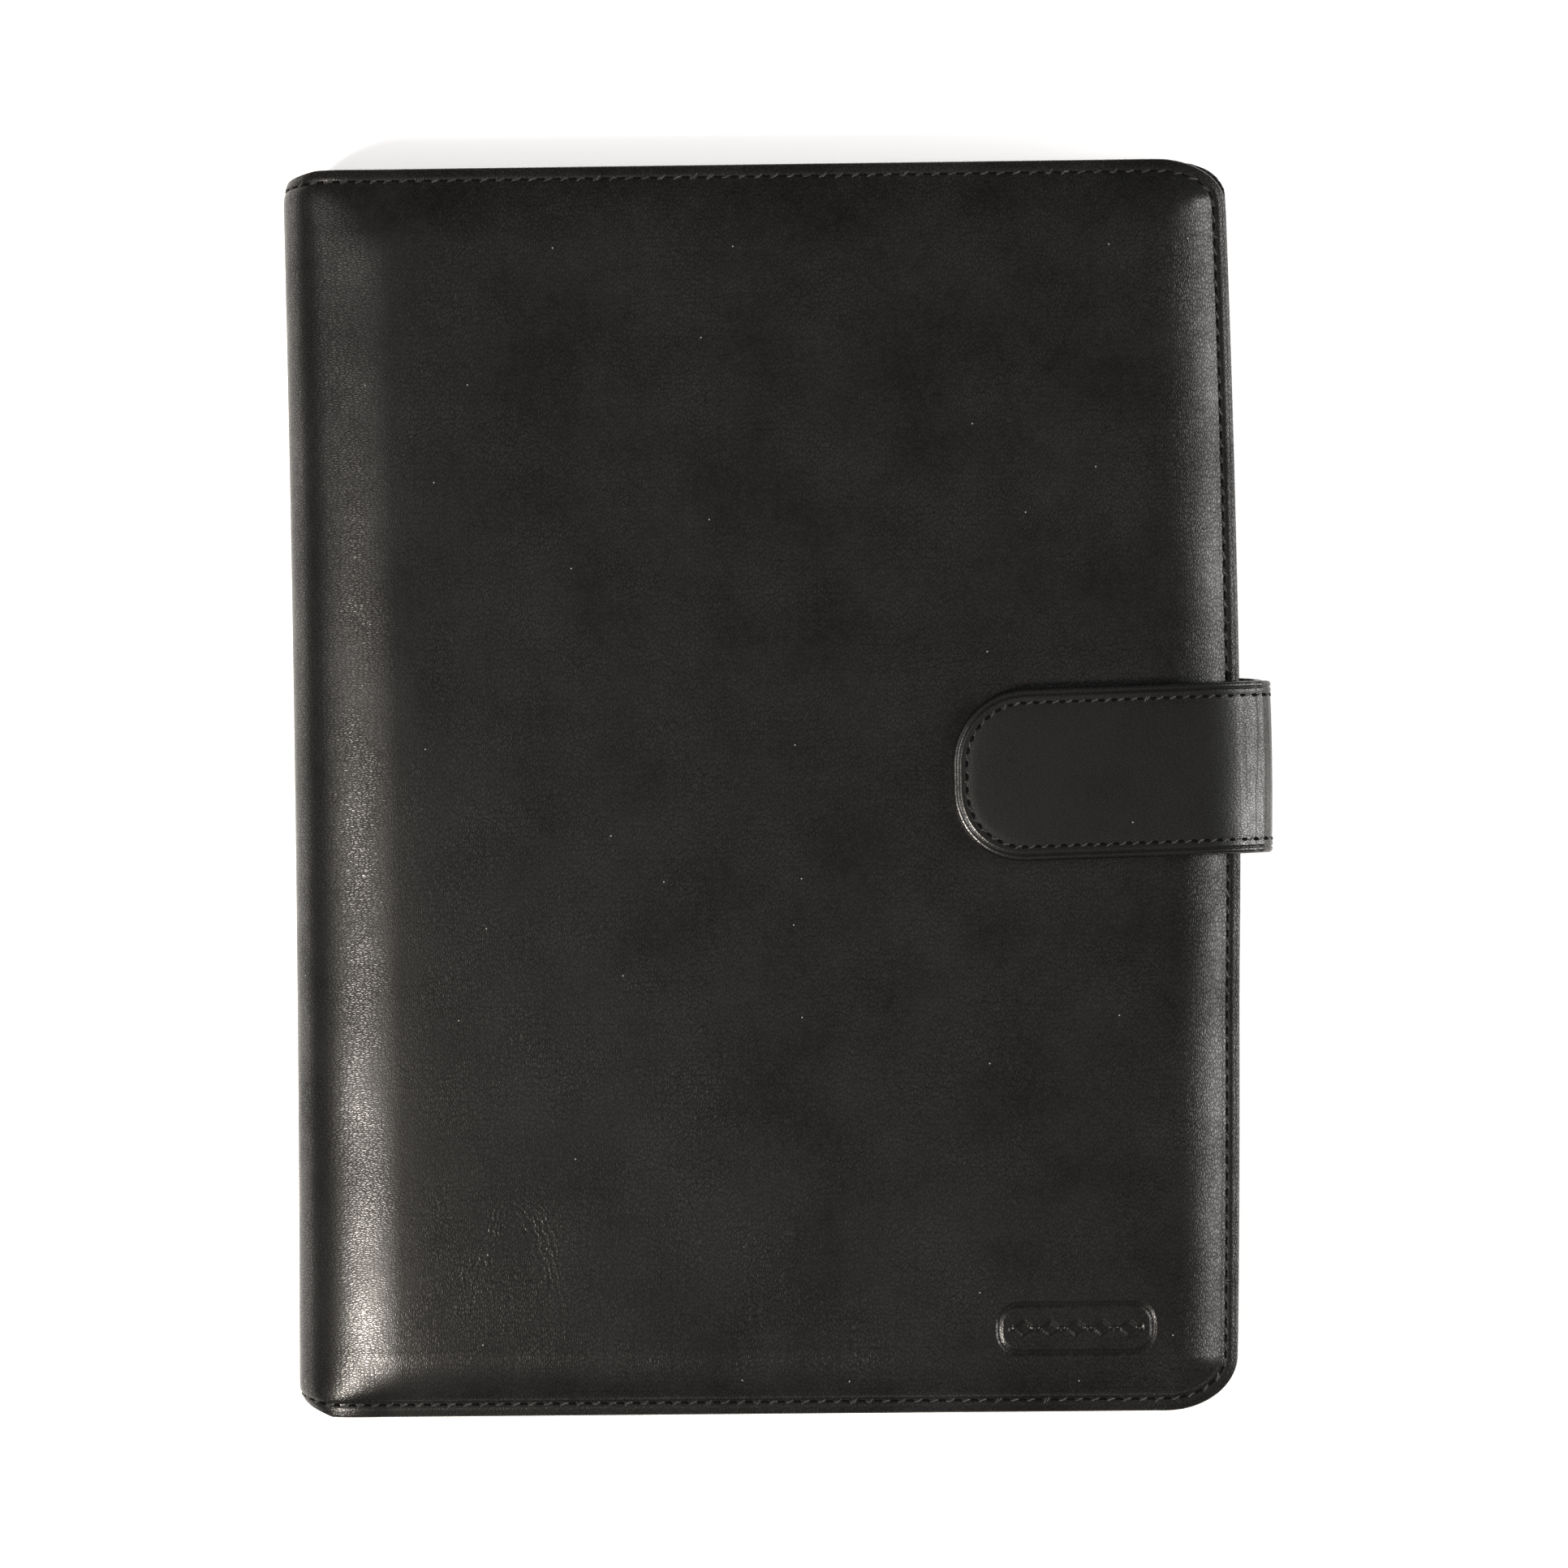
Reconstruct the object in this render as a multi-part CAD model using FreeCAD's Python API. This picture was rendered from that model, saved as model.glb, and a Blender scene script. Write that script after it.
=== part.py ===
import FreeCAD, Part
import math
import os

V = FreeCAD.Vector

# Frame: the closed cover lies on its back. +X runs to the fore-edge, +Y to the head, +Z up.
# All sizes are in millimetres.
HEIGHT = 230.0          # head to tail
THICK = 24.0            # outer leather to outer leather
SPINE_X = -89.84        # outermost point of the rounded spine
FORE_X = 83.36          # fore-edge of both covers
STRAP_X = 89.46         # outermost face of the strap

# Plan outline: elliptical corners at the fore-edge
CORNER_RX = 15.0
CORNER_RY = 10.0

# Rounded spine: half an ellipse in the XZ plane
ROLL_A = 20.0
ROLL_B = THICK / 2

# Layers, as depths below the outer face
LEATHER = 1.2           # where the outer leather ends
FOAM_END = 3.0          # where the foam ends and the board starts
BOARD_END = 4.2         # where the board ends and the lining starts
LINING_END = 5.0        # the lining's inner face
HEM = 3.5               # width of the flat hem round the padded crown
CROWN_R = 2.4           # rounding of the crown's edge

# The covers and the spine piece stop either side of two bends
SPINE_CUT = SPINE_X + 6.0
COVER_CUT = SPINE_X + 6.3

# Stitching
THREAD_W = 0.6
THREAD_H = 0.35
STITCH_INSET = 2.0
SEAT = 0.03             # a seam's clearance above what it is sewn to

# Paper pad and the sleeve that holds its backing board
PAD_W = 145.0
PAD_H = 210.0
PAD_FORE = FORE_X - 7.0
PAD_SPINE = PAD_FORE - PAD_W
BACKING_T = 1.0
PAGES_Z0 = 7.1
PAGES_Z1 = 16.0
BINDING_T = 0.4
SLEEVE_W = 100.0
SLEEVE_Z = 6.2
SLEEVE_T = 0.8
SLEEVE_RIM = 4.0

# Pockets inside the front cover
SLIP_W = 112.0
POCKET_T = 0.6
POCKET_GAP = 0.05
POCKET_X0 = FORE_X - 102.0
POCKET_X1 = FORE_X - 10.0
POCKET_FOOT = -100.0
POCKET_TOPS = (-8.0, -22.0, -36.0)

# Closure strap
STRAP_W = 31.6
STRAP_Y = 2.0           # centre of the strap, towards the head
STRAP_T = 2.6
STRAP_SKIN = 1.2        # outer leather of the strap
STRAP_CORE = 0.6
STRAP_EDGE = 1.4        # width of the leather turned round the core
STRAP_STITCH = 2.6
TAB_Z = THICK + 0.5     # underside of the tab
TAB_TIP = FORE_X - 51.75
TIP_R = 13.4
ANCHOR_Z = 5.05
ANCHOR_T = 1.1
FOOT_R = 4.4            # outer radius of the lower bend
FOLD_R = 5.5            # outer radius of the upper bend
SWEEP = 0.05            # clearance round each bend's turning edge

# Hidden snap
SNAP_X = TAB_TIP + 17.0
SNAP_R = 7.0
BARREL_R = 4.0
BORE_R = 2.7
POST_R = 2.4
SOCKET_TOP = THICK + 0.15
BORE_Z = THICK - 2.5
STUD_Z = THICK + 0.35
POST_Z = THICK - 2.0

FAR = 40.0              # reach of a cutting block
HALF = HEIGHT / 2
ROLL_X = SPINE_X + ROLL_A
TAB_TOP = TAB_Z + STRAP_T
Y0 = STRAP_Y - STRAP_W / 2
Y1 = STRAP_Y + STRAP_W / 2

# Each bend keeps the strap's length when it is straightened about this axis
BEND = math.pi / 4
FOOT_MID = FOOT_R - ANCHOR_T / 2
FOOT_X = STRAP_X - FOOT_R
FOOT_HINGE = (FOOT_X + BEND * FOOT_MID, ANCHOR_Z + ANCHOR_T / 2 + (1 - BEND) * FOOT_MID)
FOLD_MID = FOLD_R - STRAP_T / 2
FOLD_Z = TAB_TOP - FOLD_R
FOLD_HINGE = (STRAP_X - STRAP_T / 2 - (1 - BEND) * FOLD_MID, FOLD_Z + BEND * FOLD_MID)


def box(x0, x1, y0, y1, z0, z1):
    return Part.makeBox(x1 - x0, y1 - y0, z1 - z0, V(x0, y0, z0))


def disc(x, y, z0, z1, r):
    return Part.makeCylinder(r, z1 - z0, V(x, y, z0))


def cross_rod(x, z, r):
    return Part.makeCylinder(r, HEIGHT, V(x, -HALF, z), V(0, 1, 0))


def line(a, b):
    return Part.LineSegment(a, b).toShape()


def arc(centre, first, second):
    """Quarter of an ellipse from centre + first to centre + second."""
    if first.Length >= second.Length:
        ellipse = Part.Ellipse(centre + first, centre + second, centre)
        return Part.Arc(ellipse, 0, math.pi / 2).toShape()
    ellipse = Part.Ellipse(centre + second, centre - first, centre)
    return Part.Arc(ellipse, -math.pi / 2, 0).toShape()


def solid(edges, sweep):
    return Part.Face(Part.Wire(edges)).extrude(sweep)


def plan(inset, left=SPINE_X - 10):
    """Column under the cover's outline, moved in by inset, open past the spine."""
    x = FORE_X - inset
    y = HALF - inset
    z = -5.0
    foot = V(FORE_X - CORNER_RX, CORNER_RY - HALF, z)
    head = V(FORE_X - CORNER_RX, HALF - CORNER_RY, z)
    rx = V(x - foot.x, 0, 0)
    ry = V(0, y - head.y, 0)
    edges = [
        line(V(left, -y, z), foot - ry),
        arc(foot, -ry, rx),
        line(foot + rx, head + rx),
        arc(head, rx, ry),
        line(head + ry, V(left, y, z)),
        line(V(left, y, z), V(left, -y, z)),
    ]
    return solid(edges, V(0, 0, THICK + 10))


def roll(depth):
    """Everything inside the book's C-shaped section, from the given depth inwards."""
    a = V(ROLL_A - depth, 0, 0)
    b = V(0, 0, ROLL_B - depth)
    centre = V(ROLL_X, -HALF - 5, ROLL_B)
    far = V(FORE_X + 5 - ROLL_X, 0, 0)
    edges = [
        line(centre - b + far, centre - b),
        arc(centre, -b, -a),
        arc(centre, -a, b),
        line(centre + b, centre + b + far),
        line(centre + b + far, centre - b + far),
    ]
    return solid(edges, V(0, HEIGHT + 10, 0))


def pillow(depth, radius):
    """The padded body from the given depth inwards, its edges rounded."""
    body = roll(depth).common(plan(HEM + depth))
    rims = []
    for edge in body.Edges:
        bounds = edge.BoundBox
        upright = bounds.ZLength > 2 and bounds.XLength < 0.01 and bounds.YLength < 0.01
        across = bounds.YLength > HEIGHT / 2 and bounds.XMax < FORE_X - 20
        if not upright and not across:
            rims.append(edge)
    return body.makeFillet(radius, rims)


def zone(name):
    """The part of the book that belongs to one cover or to the spine."""
    if name == "spine":
        return box(SPINE_X - 20, SPINE_CUT, -HALF - 9, HALF + 9, -9, THICK + 9)
    if name == "back":
        return box(COVER_CUT, FORE_X + 20, -HALF - 9, HALF + 9, -9, THICK / 2)
    return box(COVER_CUT, FORE_X + 20, -HALF - 9, HALF + 9, THICK / 2, THICK + 9)


def ring(outer, inner, z0, z1):
    """Flat frame between two plan outlines."""
    slab = box(SPINE_X - 20, FORE_X + 20, -HALF - 9, HALF + 9, z0, z1)
    return slab.common(plan(outer)).cut(plan(inner))


def rounded_strip(x0, x1, y0, y1, z0, z1, radius):
    """Flat strip with its two corners at the x0 end rounded."""
    strip = box(x0, x1, y0, y1, z0, z1)
    corners = [e for e in strip.Edges if e.BoundBox.ZLength > (z1 - z0) / 2 and e.BoundBox.XMax < x0 + 0.1]
    return strip.makeFillet(radius, corners)


def bend_skin(cx, cz, inner, outer, quadrant_x, quadrant_z):
    """Quarter of a leather tube as wide as the strap."""
    length = Y1 - Y0
    tube = Part.makeCylinder(outer, length, V(cx, Y0, cz), V(0, 1, 0))
    tube = tube.cut(Part.makeCylinder(inner, length, V(cx, Y0, cz), V(0, 1, 0)))
    x0, x1 = sorted((cx, cx + quadrant_x * FAR))
    z0, z1 = sorted((cz, cz + quadrant_z * FAR))
    return tube.common(box(x0, x1, Y0, Y1, z0, z1))


parts = {}

# Padded book: outer leather, foam, boards and lining, cut into back cover, spine and front cover
crown = pillow(0, CROWN_R)
stuffing = pillow(LEATHER, CROWN_R - LEATHER)
hollow = roll(BOARD_END)
flange = roll(FOAM_END).common(plan(0))
leather = crown.fuse(flange).cut(stuffing).cut(hollow)
core = roll(FOAM_END).cut(hollow)
boards = core.common(plan(HEM + LEATHER)).common(box(ROLL_X, FORE_X, -HALF, HALF, -9, THICK + 9))
foam = stuffing.cut(hollow).cut(boards)
lining = hollow.cut(roll(LINING_END)).common(plan(0))

for name in ("back", "spine", "front"):
    piece = zone(name)
    parts[name + "_outer_leather"] = leather.common(piece)
    parts[name + "_foam"] = foam.common(piece)
    parts[name + "_lining"] = lining.common(piece)
    if name != "spine":
        parts[name + "_board"] = boards.common(piece)

# Hem stitching: one run along head, fore-edge and tail of each cover, two short ones on the spine
run = plan(STITCH_INSET).cut(plan(STITCH_INSET + THREAD_W))
thread = roll(FOAM_END - SEAT - THREAD_H).cut(roll(FOAM_END - SEAT)).common(run)
for name in ("back", "spine", "front"):
    parts[name + "_stitching"] = thread.common(zone(name))

# Sleeve on the back lining: open towards the spine, sewn down on the other three sides
sleeve_x = FORE_X - SLEEVE_W
sleeve_half = box(sleeve_x, FORE_X, -HALF, HALF, LINING_END, SLEEVE_Z + SLEEVE_T)
sleeve = ring(1.0, HEM + LEATHER + 1.0, LINING_END, SLEEVE_Z)
top = box(sleeve_x, FORE_X, -HALF, HALF, SLEEVE_Z, SLEEVE_Z + SLEEVE_T).common(plan(1.0))
sleeve = sleeve.fuse(top).common(sleeve_half)
strap_way = box(FORE_X - 7, FORE_X + 1, Y0 - 0.3, Y1 + 0.3, LINING_END - 1, SLEEVE_Z)
parts["pad_sleeve"] = sleeve.cut(strap_way)
sleeve_top = SLEEVE_Z + SLEEVE_T + SEAT
seam = ring(STITCH_INSET, STITCH_INSET + THREAD_W, sleeve_top, sleeve_top + THREAD_H)
parts["sleeve_stitching"] = seam.common(box(sleeve_x, FORE_X, -HALF, HALF, 0, THICK))

# Paper pad: backing board in the sleeve, pages above it, binding strip round the spine edge
pad_y = PAD_H / 2
backing_z = LINING_END + 0.1
parts["pad_backing_board"] = box(PAD_SPINE, PAD_FORE, -pad_y, pad_y, backing_z, backing_z + BACKING_T)
parts["pad_pages"] = box(PAD_SPINE, PAD_FORE, -pad_y, pad_y, PAGES_Z0, PAGES_Z1)
wrap = box(PAD_SPINE - BINDING_T, PAD_SPINE + 18, -pad_y, pad_y, backing_z, PAGES_Z1 + 0.15)
wrap = wrap.cut(box(PAD_SPINE, PAD_FORE, -pad_y, pad_y, PAGES_Z0, PAGES_Z1))
wrap = wrap.cut(box(PAD_SPINE, PAD_FORE, -pad_y, pad_y, backing_z, backing_z + BACKING_T))
parts["pad_binding"] = wrap

# Front cover's inside: a full-height slip pocket with three stepped card pockets sewn to it
slip_z = THICK - LINING_END
slip = box(FORE_X - SLIP_W, FORE_X, -HALF, HALF, slip_z - 0.8, slip_z - 0.05).common(plan(1.0))
parts["slip_pocket"] = slip
for index, pocket_top in enumerate(POCKET_TOPS):
    z1 = slip_z - 0.85 - index * (POCKET_T + POCKET_GAP)
    pocket = box(POCKET_X0, POCKET_X1, POCKET_FOOT, pocket_top, z1 - POCKET_T, z1)
    parts["card_pocket_%d" % (index + 1)] = pocket

# Strap's anchor: a tongue sewn on the back lining beside the sleeve's rim
anchor = box(FORE_X - 4.6, FOOT_X, Y0, Y1, ANCHOR_Z, ANCHOR_Z + ANCHOR_T)
foot_low = math.hypot(FOOT_HINGE[0] - FOOT_X, FOOT_HINGE[1] - ANCHOR_Z)
parts["strap_anchor"] = anchor.cut(cross_rod(FOOT_HINGE[0], FOOT_HINGE[1], foot_low + SWEEP))

# Strap's side: lower bend, then an upright run past the fore-edges
foot_z = ANCHOR_Z + FOOT_R
skin = bend_skin(FOOT_X, foot_z, FOOT_R - ANCHOR_T, FOOT_R, 1, -1)
upright = box(STRAP_X - STRAP_SKIN, STRAP_X, Y0, Y1, foot_z, FOLD_Z)
fold_out = math.hypot(STRAP_X - FOLD_HINGE[0], FOLD_HINGE[1] - FOLD_Z)
turn = cross_rod(FOLD_HINGE[0], FOLD_HINGE[1], fold_out + SWEEP)
parts["strap_side_leather"] = skin.fuse(upright).cut(turn)
side_lining = box(STRAP_X - STRAP_T, STRAP_X - STRAP_SKIN, Y0, Y1, foot_z, FOLD_Z)
parts["strap_side_lining"] = side_lining.cut(turn)
seams = []
for y in (Y0 + STRAP_STITCH, Y1 - STRAP_STITCH - THREAD_W):
    face = STRAP_X + SEAT
    seams.append(box(face, face + THREAD_H, y, y + THREAD_W, foot_z, FOLD_Z - 1.2))
parts["strap_side_stitching"] = Part.makeCompound(seams)

# Strap's tab: upper bend, then a round-cornered run over the front cover, over a thin stiffener
fold_x = STRAP_X - FOLD_R
under_z = TAB_TOP - STRAP_SKIN
core_z = under_z - STRAP_CORE
skin = bend_skin(fold_x, FOLD_Z, FOLD_R - STRAP_SKIN, FOLD_R, 1, 1)
flat = rounded_strip(TAB_TIP, fold_x, Y0, Y1, core_z, TAB_TOP, TIP_R)
bed = rounded_strip(TAB_TIP + STRAP_EDGE, fold_x, Y0 + STRAP_EDGE, Y1 - STRAP_EDGE,
                    core_z, under_z, TIP_R - STRAP_EDGE)
rim_end = box(fold_x - 1, fold_x, Y0, Y1, core_z, under_z)
parts["strap_tab_leather"] = skin.fuse(flat).cut(bed).cut(rim_end)
parts["strap_tab_core"] = bed
lining_strip = rounded_strip(TAB_TIP + 0.3, fold_x, Y0 + 0.3, Y1 - 0.3, TAB_Z, core_z, TIP_R - 0.3)
lining_bend = bend_skin(fold_x, FOLD_Z, FOLD_R - STRAP_T, FOLD_R - STRAP_SKIN, 1, 1)
tab_lining = lining_strip.fuse(lining_bend)
parts["strap_tab_lining"] = tab_lining.cut(disc(SNAP_X, STRAP_Y, TAB_Z - 1, core_z, SNAP_R))
outer_run = rounded_strip(TAB_TIP + STRAP_STITCH, fold_x, Y0 + STRAP_STITCH, Y1 - STRAP_STITCH,
                          TAB_TOP + SEAT, TAB_TOP + SEAT + THREAD_H, TIP_R - STRAP_STITCH)
inset = STRAP_STITCH + THREAD_W
inner_run = rounded_strip(TAB_TIP + inset, fold_x, Y0 + inset, Y1 - inset,
                          TAB_TOP + SEAT, TAB_TOP + SEAT + THREAD_H, TIP_R - inset)
parts["strap_tab_stitching"] = outer_run.cut(inner_run)

# Snap: the socket is let into the front cover's padding, the stud into the tab's lining
foam_z = THICK - LEATHER
seat_z = THICK - FOAM_END
socket = disc(SNAP_X, STRAP_Y, foam_z, SOCKET_TOP, SNAP_R)
socket = socket.fuse(disc(SNAP_X, STRAP_Y, seat_z, foam_z, BARREL_R))
parts["snap_socket"] = socket.cut(disc(SNAP_X, STRAP_Y, BORE_Z, THICK + 5, BORE_R))
leather_hole = disc(SNAP_X, STRAP_Y, foam_z, THICK + 1, SNAP_R)
parts["front_outer_leather"] = parts["front_outer_leather"].cut(leather_hole)
parts["front_foam"] = parts["front_foam"].cut(disc(SNAP_X, STRAP_Y, seat_z, foam_z, BARREL_R))
stud = disc(SNAP_X, STRAP_Y, STUD_Z, core_z, SNAP_R)
parts["snap_stud"] = stud.fuse(disc(SNAP_X, STRAP_Y, POST_Z, STUD_Z, POST_R))

os.makedirs("parts", exist_ok=True)
for name, shape in parts.items():
    if len(shape.Solids) == 1:
        shape = shape.Solids[0]
    shape.exportStep("parts/%s.step" % name)
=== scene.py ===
import math

import bpy
import numpy as np
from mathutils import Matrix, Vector, noise


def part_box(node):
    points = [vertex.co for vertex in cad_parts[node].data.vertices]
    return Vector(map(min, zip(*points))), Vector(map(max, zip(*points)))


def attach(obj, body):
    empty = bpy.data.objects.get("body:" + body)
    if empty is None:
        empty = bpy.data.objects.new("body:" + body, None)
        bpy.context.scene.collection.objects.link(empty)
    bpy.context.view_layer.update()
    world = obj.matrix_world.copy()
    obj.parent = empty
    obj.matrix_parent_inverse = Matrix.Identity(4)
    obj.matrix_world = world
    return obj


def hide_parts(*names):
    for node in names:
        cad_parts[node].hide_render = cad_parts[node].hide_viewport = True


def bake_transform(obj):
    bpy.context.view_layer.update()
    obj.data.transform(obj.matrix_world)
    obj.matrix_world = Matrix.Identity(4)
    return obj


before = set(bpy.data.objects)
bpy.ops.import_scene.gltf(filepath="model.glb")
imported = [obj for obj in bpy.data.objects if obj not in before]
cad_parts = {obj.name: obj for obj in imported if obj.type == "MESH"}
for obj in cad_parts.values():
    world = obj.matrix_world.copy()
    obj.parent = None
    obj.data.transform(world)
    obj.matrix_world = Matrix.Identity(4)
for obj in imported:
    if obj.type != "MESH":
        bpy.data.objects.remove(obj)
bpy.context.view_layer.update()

MM = 0.001


# ---------------------------------------------------------------- sizes, all from the CAD frame, in mm

def corners(node):
    """A CAD node's lowest and highest corners, in mm."""
    low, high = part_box(node)
    return np.array(low) / MM, np.array(high) / MM


board_low, board_high = corners("front_board")

FORE, HALF, THICK = corners("front_outer_leather")[1]
SPINE = corners("spine_outer_leather")[0][0]
ROLL_X = board_low[0]
ROLL_A = ROLL_X - SPINE
ROLL_B = THICK / 2
HEM_DEPTH = THICK - board_high[2]       # the hem's top face lies this far below the crown
LINING_DEPTH = THICK - corners("front_lining")[1][2]    # the padding ends here and the lining starts
LINING_T = 0.8
THINNEST = 0.8          # the outer leather is at least this thick, also under the stamp and the snap
CORNERS = {                             # elliptical corners at the fore-edge: front and back, tail and head
    1: ((13.0, 10.0), (12.5, 8.5)),
    -1: ((13.0, 10.0), (10.0, 6.5)),
}

# Arc length along the rounded spine, from its middle up to the flat
_angles = np.linspace(0, math.pi / 2, 400)
_steps = np.hypot(np.diff(ROLL_A * np.cos(_angles)), np.diff(ROLL_B * np.sin(_angles)))
_arc = np.concatenate([[0], np.cumsum(_steps)])
ROLL_LENGTH = _arc[-1]
WIDTH = ROLL_LENGTH + FORE - ROLL_X     # from the spine's middle to the fore-edge, along the surface

# How the real cover differs from its plain drawing
BOW_SPINE = 0.7        # both long edges bow towards the fore-edge in the middle
BOW_FORE = 1.6
SWELL_SPINE = 0.8      # the stuffed spine stands this far out
SWELL_FORE = 0.25
BACK_PEEK = (1.5, 1.5)  # the back cover sits a little out at the fore-edge and the head
FORE_TAIL = 0.6         # the fore-edge draws in towards the tail, over TAIL_REACH
TAIL_REACH = 40.0
TAIL_DROP = 0.9         # the tail edge drops towards the fore-edge

# Hem profile: distance in from the edge and depth below the crown. The last value joins the crown.
STITCH_INSET = 2.3
HEM_PROFILE = (
    (0.0, 3.75), (0.1, 3.46), (0.25, 3.31), (0.45, 3.23), (0.6, 3.2), (0.68, 3.32), (0.76, 3.18), (1.0, 3.09),
    (1.3, 3.01), (1.6, 2.97), (1.95, 2.99), (2.2, 3.06), (2.45, 3.07), (2.7, 3.0), (2.95, 2.85),
)
CROWN_START = HEM_PROFILE[-1][0]
CROWN_LEVEL = 0.15          # the padding's foot lies this far above the hem
CROWN_WIDTH = (9.5, 13.0)   # the padding rises over this width, at the tail and at the head
CROWN_FOOT = 0.14           # share of its rise that is steep, right at the seam
SLANT_TAIL = 3.4            # how much the hem is cut away at the spine's edge, at the tail and at the head
SLANT_HEAD = 1.7
SLANT_WIDTH = 4.8           # the slanted cut fades out this far in from the edge
SLANT_REACH = 0.42 * ROLL_LENGTH
SHOULDER = 0.9              # how much the cover eases down where it meets the spine
SHOULDER_AT = (ROLL_LENGTH - 16, ROLL_LENGTH + 6)
SPINE_SHARE = (0.3 * ROLL_LENGTH, 0.95 * ROLL_LENGTH)   # the spine's hem becomes the cover's between these
SPINE_HEM = 0.35            # depth of the seam where it crosses the rounded spine


def crown_share(inset, y):
    """0 at the foot of the padding, 1 on top of it."""
    width = CROWN_WIDTH[0] + (CROWN_WIDTH[1] - CROWN_WIDTH[0]) * (0.5 + 0.5 * y / HALF)
    return np.clip((inset - CROWN_START) / width, 0, 1)


def crown_depth(inset, y):
    """Depth of the padded face below its top, from the hem's edge inwards."""
    share = crown_share(inset, y)
    rise = (1 - CROWN_FOOT) * (1 - share) ** 2 + CROWN_FOOT * (1 - share) ** 12
    return (HEM_DEPTH - CROWN_LEVEL) * rise


def smooth(value, low, high):
    """0 below low, 1 above high, with a soft turn at both."""
    share = np.clip((value - low) / (high - low), 0, 1)
    return share * share * (3 - 2 * share)


def on_spine(along):
    """1 at the outer half of the rounded spine, 0 on the flat cover."""
    return 1 - smooth(np.asarray(along, float), *SPINE_SHARE)


def face_depth(inset, along, y):
    """Depth of the outer leather: the hem and its seam, then the padded crown."""
    xs, ys = zip(*HEM_PROFILE)
    flat = np.where(inset < xs[-1], np.interp(inset, xs, ys), crown_depth(inset, y))
    shoulder = smooth(along, 0, SHOULDER_AT[0]) * (1 - smooth(along, *SHOULDER_AT))
    flat = flat + SHOULDER * shoulder * smooth(inset, CROWN_START, CROWN_START + 8)
    rolled = SPINE_HEM * np.exp(-np.maximum(inset - CROWN_START, 0) / 1.2)
    rolled = rolled + 0.9 * np.where(inset < xs[-1], np.interp(inset, xs, ys) - ys[-1], 0)
    share = on_spine(along)
    return share * rolled + (1 - share) * flat


def slant(inset, along, y):
    """How far the hem is cut back at the spine's ends, which are trimmed at a slant."""
    share = np.clip(1 - np.asarray(along, float) / SLANT_REACH, 0, 1)
    cut = np.where(np.asarray(y) < 0, SLANT_TAIL, SLANT_HEAD)
    return cut * share * np.clip(1 - inset / SLANT_WIDTH, 0, 1)


# ---------------------------------------------------------------- surface of the book

def place(along, y, depth, side):
    """Point of the book: along the surface from the spine's middle, up the page, and below the face."""
    along, y, depth = np.broadcast_arrays(np.asarray(along, float), y, depth)
    angle = np.interp(np.minimum(along, ROLL_LENGTH), _arc, _angles)
    flat = np.maximum(along - ROLL_LENGTH, 0)
    x = ROLL_X - (ROLL_A - depth) * np.cos(angle) + flat
    z = ROLL_B + side * (ROLL_B - depth) * np.sin(angle)
    y = y - np.sign(y) * slant(HALF - np.abs(y), along, y)
    lean = 1 - (y / HALF) ** 2
    share = (x - SPINE) / (FORE - SPINE)
    x = x + lean * (BOW_SPINE + (BOW_FORE - BOW_SPINE) * share)
    x = x - SWELL_SPINE * (1 - share) + SWELL_FORE * share
    x = x - FORE_TAIL * share * np.clip(-y / TAIL_REACH, 0, 1)
    y = y - TAIL_DROP * np.clip(share, 0, 1) * np.clip(-y / HALF, 0, 1)
    if side < 0:
        x = x + BACK_PEEK[0] * np.clip(share, 0, 1) ** 2
        y = y + BACK_PEEK[1] * np.clip(share, 0, 1) * (0.5 + 0.5 * y / HALF)
    return np.stack([x, y, z], -1)


def round_corner(along, y, side):
    """Moves points of a plain rectangle so that its rings follow the elliptical corners."""
    tail, head = CORNERS[side]
    rx = np.where(y < 0, tail[0], head[0])
    ry = np.where(y < 0, tail[1], head[1])
    inset = np.minimum(WIDTH - along, HALF - np.abs(y))
    u = along - (WIDTH - rx)
    v = np.abs(y) - (HALF - ry)
    inside = (u > 0) & (v > 0) & (inset < ry)
    rx_in = np.maximum(rx - inset, 1e-6)
    ry_in = np.maximum(ry - inset, 1e-6)
    upright = (WIDTH - along) <= (HALF - np.abs(y))
    turn = np.where(upright, math.pi / 4 * v / ry_in, math.pi / 2 - math.pi / 4 * u / rx_in)
    new_along = np.where(inside, WIDTH - rx + rx_in * np.cos(turn), along)
    new_y = np.where(inside, np.sign(y) * (HALF - ry + ry_in * np.sin(turn)), y)
    return new_along, new_y, inset


FINE_PITCH = 2.4        # between the grid lines of a panel's middle
COARSE_PITCH = (5.0, 6.0)
LEAST_GAP = 0.11
# Grid lines near the edges, by their distance in
FINE_INSETS = [p[0] for p in HEM_PROFILE] + [3.2, 3.5, 3.9, 4.4, 5.0, 5.8, 6.8, 8.0, 9.4, 11.0, 13.0]
COARSE_INSETS = [0.0, 0.3, 0.8, 2.0, 5.0, 9.0, 13.0]


def along_lines(insets, pitch):
    """Grid lines from the spine's middle to the fore-edge."""
    roll = np.linspace(0, ROLL_LENGTH, 27)
    inner = WIDTH - insets[-1]
    count = max(2, int((inner - ROLL_LENGTH) / pitch))
    flat = np.linspace(ROLL_LENGTH, inner, count + 1)[1:]
    edge = WIDTH - np.array(insets[:-1][::-1])
    return np.concatenate([roll, flat, edge])


def y_lines(insets, pitch):
    """Grid lines from the tail to the head."""
    inner = HALF - insets[-1]
    count = int(2 * inner / pitch)
    middle = np.linspace(-inner, inner, count + 1)
    low = -HALF + np.array(insets[:-1])
    return np.concatenate([low, middle, -low[::-1]])


# ---------------------------------------------------------------- meshes

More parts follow.
